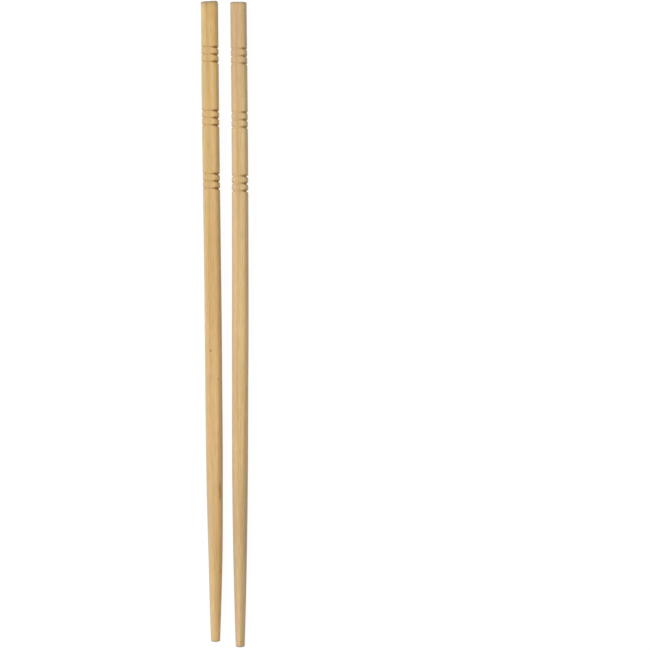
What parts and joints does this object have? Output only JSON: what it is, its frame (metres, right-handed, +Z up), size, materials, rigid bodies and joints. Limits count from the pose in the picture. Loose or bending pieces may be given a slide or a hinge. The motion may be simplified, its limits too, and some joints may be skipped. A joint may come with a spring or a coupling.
{
  "type": "pair of wooden chopsticks",
  "caption": "Pair of wooden chopsticks lying side by side: rounded-square handles with groups of turned V grooves, tapering to slim round tips for picking up food.",
  "frame": {"origin": "middle of the pair's footprint on the surface that it lies on", "axes": "+X across the pair, +Y along the sticks towards the butt ends, +Z up"},
  "size_m": [0.0176, 0.241, 0.0059],
  "materials": {
    "honey_bamboo": "sanded bamboo, faint satin, warm honey tone",
    "pale_bamboo": "sanded bamboo, faint satin, slightly paler tone"
  },
  "bodies": {
    "root": {"left_chopstick": "honey_bamboo", "right_chopstick": "pale_bamboo"}
  },
  "joints": []
}
